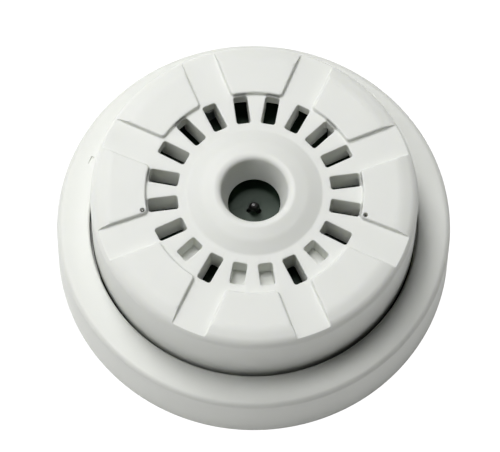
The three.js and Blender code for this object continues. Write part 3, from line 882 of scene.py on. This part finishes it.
def case_screw_body(angle):
    """Self-tapping screw driven in from the rear, so its head is at the bottom."""
    low = CHASSIS_Z + GAP
    high = low + 1.2
    root = CASE_SCREW_ROOT_R
    end = PLATE_UNDER_Z - 2.7
    corners = [
        (0, low),
        (CASE_SCREW_HEAD_R, low, 0.45),
        (CASE_SCREW_HEAD_R, high, 0.12),
        (CASE_SCREW_THREAD_R, high),
        *thread(high + 1.2, end - 0.9, CASE_SCREW_PITCH, root, (CASE_SCREW_THREAD_R, 0.35)),
        (root, end),
        (0, end + 1),
    ]
    across = block((-1.3, -0.35, low - 1), (1.3, 0.35, low + 0.8), 0)
    along = block((-0.35, -1.3, low - 1), (0.35, 1.3, low + 0.8), 0)
    return moved(cut(turned(corners, FINE, 5), joined(across, along)), angle, CASE_SCREW_R)


def light_guide_body(angle):
    shoulder = GUIDE_BORE_TOP_Z - GAP
    corners = [
        (0, BOARD_TOP_Z + 2.1),
        (1, BOARD_TOP_Z + 2.1, 0.2),
        (1, shoulder - 0.4, 0.1),
        (0.3, shoulder, 0.1),
        (0.3, FACE_Z - 0.1, 0.12),
        (0, FACE_Z - 0.1),
    ]
    return moved(turned(corners, FINE, 4), angle, LED_R)


def status_led_body(angle):
    """Small domed lamp on a flange."""
    low = BOARD_TOP_Z + SEAT
    top = low + 1.65
    corners = [
        (0, low),
        (1.6, low, 0.1),
        (1.6, low + 0.45, 0.1),
        (1.2, low + 0.5),
        (1.2, top, 0.95),
        (0, top),
    ]
    return moved(turned(corners, FINE, 8), angle, LED_R)


def sensing_thermistor_body():
    """Epoxy bead on two leads."""
    middle = OPENING_LOW_Z - 1.8
    low = middle - 1.45
    high = middle + 1.45
    corners = [(0, low), (1.1, low + 0.1, 0.6), (1.45, middle, 1.2), (0.9, high - 0.1, 0.8), (0, high)]
    bead = turned(corners, FINE, 8)
    bmesh.ops.scale(bead, vec=(1, 0.8, 1), verts=bead.verts)
    for side in (-1, 1):
        reach = side * (LEAD_HALF_PITCH + 0.15)
        lead = moved(rod(0.24, BOARD_Z - 0.6, middle - 0.8, 0.08, 20), 0, side * LEAD_HALF_PITCH)
        foot = block((min(0, reach), -0.2, middle - 1.1), (max(0, reach), 0.2, middle - 0.7), 0.08)
        bead = joined(bead, lead, foot)
    return bead


def reference_thermistor_body():
    low = BOARD_TOP_Z + SEAT
    corners = [
        (0, low + 0.2),
        (1, low + 0.3, 0.4),
        (1.05, low + 1.2, 0.9),
        (0.6, low + 2.3, 0.6),
        (0, low + 2.35),
    ]
    foot = block((-0.7, -1.4, low), (0.7, 1.4, low + 0.5), 0.1)
    return moved(joined(turned(corners, FINE, 8), foot), 0, -21.5)


def capacitor_body():
    """Can with a rolled groove near its foot and a recessed lid."""
    low = BOARD_TOP_Z + SEAT
    high = low + 5.3
    can_r = 3.1
    can = [
        (0, low),
        (can_r, low, 0.3),
        (can_r, low + 0.9, 0.3),
        (can_r - 0.25, low + 1.2, 0.3),
        (can_r, low + 1.5, 0.3),
        (can_r, high, 0.5),
        (2.5, high, 0.15),
        (2.4, high - 0.12, 0.1),
        (0, high - 0.12),
    ]
    return moved(turned(can, FINE, 5), 115, 30)


def chip_body(node_name, legs):
    """Moulded block with a corner dot and a row of short legs on each side, within its node's box."""
    low, high = [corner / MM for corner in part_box(node_name)]
    inset = 0.9
    left = low.x + inset
    right = high.x - inset
    body = block((left, low.y, low.z + 0.1), (right, high.y, high.z), 0.22)
    dot = rod(0.35, high.z - 0.12, high.z + 1, steps=24)
    bmesh.ops.translate(dot, vec=(left + 0.8, high.y - 0.8, 0), verts=dot.verts)
    body = cut(body, dot)
    pitch = (high.y - low.y - 1) / (legs - 1)
    pins = []
    for k in range(legs):
        y = low.y + 0.5 + pitch * k
        for start, end in ((low.x, left + 0.2), (right - 0.2, high.x)):
            pins.append(block((start, y - 0.2, low.z), (end, y + 0.2, low.z + 0.35), 0.06))
    return joined(body, gathered(pins))


# ---- Pieces: name, body, the nodes it stands for, the body it rides on, finish --------------
piece("front_cover_shell", front_cover_body(), ["front_cover"], "head", cover_plastic)
piece("base_housing", base_shell_body(), ["base_shell"], "base", base_plastic)
piece("gap_seal", seal_body(), ["seal_ring"], "seal", seal_rubber)
piece(
    "chassis_moulding", head_chassis_body(),
    ["head_chassis"], "head", chassis_plastic,
)
piece("green_board", circuit_board_body(), ["circuit_board"], "head", board_laminate)
piece("chip", chip_body("board_chip", 6), ["board_chip"], "head", component_black)
piece(
    "rectifier", chip_body("board_rectifier", 2),
    ["board_rectifier"], "head", component_black,
)
piece("capacitor", capacitor_body(), ["board_capacitor"], "head", component_can)
piece(
    "bead_thermistor", sensing_thermistor_body(),
    ["sensing_thermistor"], "head", epoxy_bead,
)
piece(
    "board_thermistor", reference_thermistor_body(),
    ["reference_thermistor"], "head", epoxy_bead,
)
for k, angle in enumerate(LED_ANGLES, 1):
    piece(f"red_led_{k}", status_led_body(angle), [f"status_led_{k}"], "head", led_lens)
    piece(
        f"light_pipe_{k}", light_guide_body(angle),
        [f"light_guide_{k}"], "head", clear_plastic,
    )
for k, angle in enumerate(CASE_SCREW_ANGLES, 1):
    piece(
        f"rear_screw_{k}", case_screw_body(angle),
        [f"case_screw_{k}"], "head", zinc_steel,
    )
for k, angle in enumerate(TERMINAL_ANGLES, 1):
    piece(
        f"terminal_leaf_{k}", contact_plate_body(angle),
        [f"contact_plate_{k}"], "base", spring_bronze,
    )
    piece(
        f"head_blade_{k}", contact_blade_body(angle),
        [f"contact_blade_{k}"], "head", plated_brass,
    )
    piece(
        f"clamp_washer_{k}", wire_clamp_body(angle),
        [f"wire_clamp_{k}"], f"clamp_{k}", zinc_steel,
    )
    piece(
        f"clamp_screw_{k}", terminal_screw_body(angle),
        [f"terminal_screw_{k}"], f"screw_{k}", zinc_steel,
    )

# ---- Floor, lights and camera ---------------------------------------------------------------
TABLE_HALF = 3
TABLE_DROP = 0.0002  # keeps the floor just clear of the base
LAMP_AWAY = 1.0
LAMP_AIM_Z = 0.02
WORLD_STRENGTH = 0.02
CAMERA_AWAY = 0.6
CAMERA_AIM_Z = 0.020
CAMERA_RISE = math.radians(67.06)
CAMERA_ROLL = math.radians(1.26)
CAMERA_LENS = 173.2
CAMERA_SENSOR = 36
CAMERA_SHIFT = (-0.0078, -0.0229)

scene = bpy.context.scene
scene.view_settings.view_transform = "Standard"


def table():
    """Flat square floor under the base."""
    body = bmesh.new()
    bmesh.ops.create_grid(body, x_segments=2, y_segments=2, size=TABLE_HALF)
    mesh = bpy.data.meshes.new("table")
    body.to_mesh(mesh)
    made = bpy.data.objects.new("table", mesh)
    made.location.z = -TABLE_DROP
    scene.collection.objects.link(made)
    return made


def table_finish():
    """Matt white floor that the camera sees evenly bright."""
    made, nodes, links, surface = started("table_white")
    surface.inputs["Base Color"].default_value = (0.85, 0.85, 0.84, 1)
    surface.inputs["Roughness"].default_value = 0.9
    surface.inputs["Emission Color"].default_value = (1, 1, 1, 1)
    surface.inputs["Emission Strength"].default_value = 0.3
    bright = nodes.new("ShaderNodeEmission")
    bright.inputs["Color"].default_value = (1, 1, 1, 1)
    bright.inputs["Strength"].default_value = 1.1
    seen = nodes.new("ShaderNodeLightPath")
    either = nodes.new("ShaderNodeMixShader")
    links.new(seen.outputs["Is Camera Ray"], either.inputs["Fac"])
    links.new(surface.outputs["BSDF"], either.inputs[1])
    links.new(bright.outputs["Emission"], either.inputs[2])
    links.new(either.outputs["Shader"], nodes["Material Output"].inputs["Surface"])
    return made


def lamp(name, azimuth, height, size, watts):
    """Area light aimed at the detector; azimuth 0 is in front and turns towards the right."""
    turn = math.radians(azimuth)
    rise = math.radians(height)
    toward = Vector((math.sin(turn) * math.cos(rise), -math.cos(turn) * math.cos(rise), math.sin(rise)))
    data = bpy.data.lights.new(name, "AREA")
    data.shape = "DISK"
    data.size = size
    data.energy = watts
    light = bpy.data.objects.new(name, data)
    light.location = toward * LAMP_AWAY + Vector((0, 0, LAMP_AIM_Z))
    light.rotation_euler = toward.to_track_quat("Z", "Y").to_euler()
    scene.collection.objects.link(light)


def studio_world():
    """Faint even light from all round."""
    made = bpy.data.worlds.new("studio")
    made.use_nodes = True
    background = made.node_tree.nodes["Background"]
    background.inputs["Color"].default_value = (1, 1, 1, 1)
    background.inputs["Strength"].default_value = WORLD_STRENGTH
    return made


def camera_above():
    """Long-lens camera, high in front of the detector and rolled a little."""
    back = Vector((0, -math.cos(CAMERA_RISE), math.sin(CAMERA_RISE)))
    right = Vector((1, 0, 0))
    up = Vector((0, math.sin(CAMERA_RISE), math.cos(CAMERA_RISE)))
    level = Matrix((right, up, back)).transposed()
    data = bpy.data.cameras.new("camera")
    data.lens = CAMERA_LENS
    data.sensor_width = CAMERA_SENSOR
    data.shift_x, data.shift_y = CAMERA_SHIFT
    data.clip_start = 0.01
    made = bpy.data.objects.new("camera", data)
    turn = (level @ Matrix.Rotation(CAMERA_ROLL, 3, "Z")).to_4x4()
    made.matrix_world = Matrix.Translation(Vector((0, 0, CAMERA_AIM_Z)) + back * CAMERA_AWAY) @ turn
    scene.collection.objects.link(made)
    return made


floor = table()
floor.data.materials.append(table_finish())
lamp("key", azimuth=208, height=56, size=0.35, watts=4.2)
lamp("overhead", azimuth=210, height=78, size=0.3, watts=3.6)
lamp("left_side", azimuth=275, height=55, size=0.4, watts=1.3)
lamp("low_left", azimuth=285, height=20, size=0.4, watts=1.3)
scene.world = studio_world()
scene.camera = camera_above()
